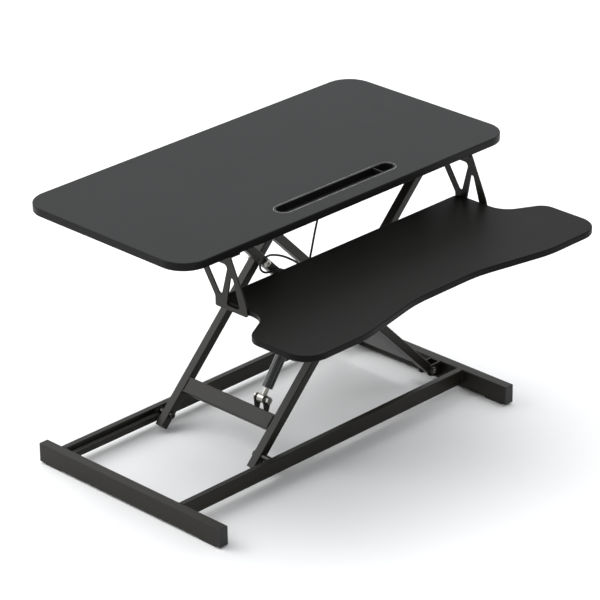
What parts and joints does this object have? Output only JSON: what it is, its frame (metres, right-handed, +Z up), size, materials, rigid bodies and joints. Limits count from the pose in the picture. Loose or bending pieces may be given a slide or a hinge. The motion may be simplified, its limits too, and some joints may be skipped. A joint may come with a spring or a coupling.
{
  "type": "standing desk converter",
  "caption": "Black desktop riser: scissor frame on two feet lifts a slotted worktop with a keyboard tray hung in front, held by a lockable gas spring.",
  "frame": {"origin": "middle of the whole object's footprint on the desk, lift raised", "axes": "+X to the user's right along the worktop, +Y to the back, +Z up"},
  "size_m": [0.8, 0.658, 0.516],
  "materials": {
    "powder_coat": "fine textured matte powder coat",
    "desk_board": "satin black laminate on particle board",
    "black_plastic": "fine moulded grain",
    "nylon": "smooth",
    "foot_rubber": "matte",
    "zinc_steel": "zinc plated",
    "spring_paint": "semi-gloss black",
    "chromed_rod": "polished",
    "cast_alloy": "cast, lightly blasted"
  },
  "bodies": {
    "base": {"foot_left": "powder_coat", "foot_right": "powder_coat", "foot_end_caps": "black_plastic", "foot_pads": "foot_rubber", "front_rail": "powder_coat", "rear_rail": "powder_coat", "running_strips": "nylon", "base_hinge_brackets": "powder_coat", "base_hinge_fasteners": "zinc_steel"},
    "inner_frame": {"inner_arm_front": "powder_coat", "inner_arm_rear": "powder_coat", "inner_arm_bushes": "black_plastic", "inner_lower_plate": "powder_coat", "inner_middle_bar": "powder_coat", "inner_upper_bar": "powder_coat", "spring_lever_plates": "powder_coat", "spring_upper_pivots": "zinc_steel", "channel_roller_axles": "zinc_steel", "cable_inner": "black_plastic"},
    "outer_frame": {"outer_arm_front": "powder_coat", "outer_arm_rear": "powder_coat", "outer_arm_inserts": "black_plastic", "outer_lower_bar": "powder_coat", "outer_upper_bar": "powder_coat", "centre_pivot_bolts": "zinc_steel", "centre_pivot_nuts": "zinc_steel", "centre_pivot_washers": "zinc_steel", "rail_roller_axles": "zinc_steel", "spring_lower_clevis": "powder_coat", "spring_lower_fasteners": "zinc_steel", "cable_outer": "black_plastic", "cable_clip_outer": "black_plastic"},
    "worktop_assembly": {"worktop": "desk_board", "slot_tray": "black_plastic", "front_channel": "powder_coat", "rear_channel": "powder_coat", "worktop_hinge_brackets": "powder_coat", "worktop_hinge_fasteners": "zinc_steel", "board_screws": "zinc_steel", "keyboard_tray": "desk_board", "hanger_left": "powder_coat", "hanger_right": "powder_coat", "lever_housing": "powder_coat", "lever_pin": "zinc_steel", "cable_worktop": "black_plastic", "cable_clips_worktop": "black_plastic"},
    "hand_lever": {"hand_lever": "black_plastic"},
    "front_rail_roller": {"front_rail_roller": "nylon"},
    "rear_rail_roller": {"rear_rail_roller": "nylon"},
    "front_channel_roller": {"front_channel_roller": "nylon"},
    "rear_channel_roller": {"rear_channel_roller": "nylon"},
    "spring_cylinder": {"spring_eye": "zinc_steel", "spring_cylinder": "spring_paint", "spring_rod_guide": "zinc_steel"},
    "spring_rod": {"spring_rod": "chromed_rod", "spring_piston": "zinc_steel", "release_head": "cast_alloy", "release_valve_pin": "zinc_steel", "release_rocker_pin": "zinc_steel"},
    "release_rocker": {"release_rocker": "zinc_steel"}
  },
  "joints": [
    {"name": "lift", "type": "hinge", "parent": "base", "child": "inner_frame", "pos_m": [0.328, 0.102, 0.0291], "axis": [0, -1, 0], "range_deg": [0, 39.8]},
    {"name": "scissor_centre", "type": "hinge", "parent": "inner_frame", "child": "outer_frame", "pos_m": [0.10091, 0.102, 0.2602], "axis": [0, -1, 0], "range_deg": [-79.6, 0]},
    {"name": "worktop_hinge", "type": "hinge", "parent": "outer_frame", "child": "worktop_assembly", "pos_m": [0.328, 0.102, 0.4913], "axis": [0, -1, 0], "range_deg": [0, 39.8]},
    {"name": "front_rail_roller_spin", "type": "hinge", "parent": "outer_frame", "child": "front_rail_roller", "pos_m": [-0.12618, -0.0113, 0.0291], "axis": [0, -1, 0], "continuous": true},
    {"name": "rear_rail_roller_spin", "type": "hinge", "parent": "outer_frame", "child": "rear_rail_roller", "pos_m": [-0.12618, 0.2843, 0.0291], "axis": [0, -1, 0], "continuous": true},
    {"name": "front_channel_roller_spin", "type": "hinge", "parent": "inner_frame", "child": "front_channel_roller", "pos_m": [-0.12618, 0.03, 0.4913], "axis": [0, -1, 0], "continuous": true},
    {"name": "rear_channel_roller_spin", "type": "hinge", "parent": "inner_frame", "child": "rear_channel_roller", "pos_m": [-0.12618, 0.257, 0.4913], "axis": [0, -1, 0], "continuous": true},
    {"name": "spring_swing", "type": "hinge", "parent": "outer_frame", "child": "spring_cylinder", "pos_m": [-0.07026, 0.074, 0.10455], "axis": [0, -1, 0], "range_deg": [-5.35, 0]},
    {"name": "spring_stroke", "type": "slide", "parent": "spring_cylinder", "child": "spring_rod", "axis": [0.5877, 0, 0.8091], "range_m": [-0.0584, 0]},
    {"name": "hand_lever", "type": "hinge", "parent": "worktop_assembly", "child": "hand_lever", "pos_m": [0.346, -0.03, 0.486], "axis": [0, -1, 0], "range_deg": [0, 12], "stiffness_Nm_per_rad": 0.6, "springref_deg": -11.46},
    {"name": "release_rocker", "type": "hinge", "parent": "spring_rod", "child": "release_rocker", "pos_m": [0.06338, 0.074, 0.29791], "axis": [0, 1, 0], "range_deg": [0, 9.6]}
  ],
  "couplings": [
    {"joint": "scissor_centre", "follows": "lift", "ratio": -2},
    {"joint": "worktop_hinge", "follows": "lift", "ratio": 1},
    {"joint": "spring_swing", "follows": "lift", "ratio": -0.134},
    {"joint": "spring_stroke", "follows": "lift", "m_per_rad": -0.084},
    {"joint": "release_rocker", "follows": "hand_lever", "ratio": 0.8}
  ]
}
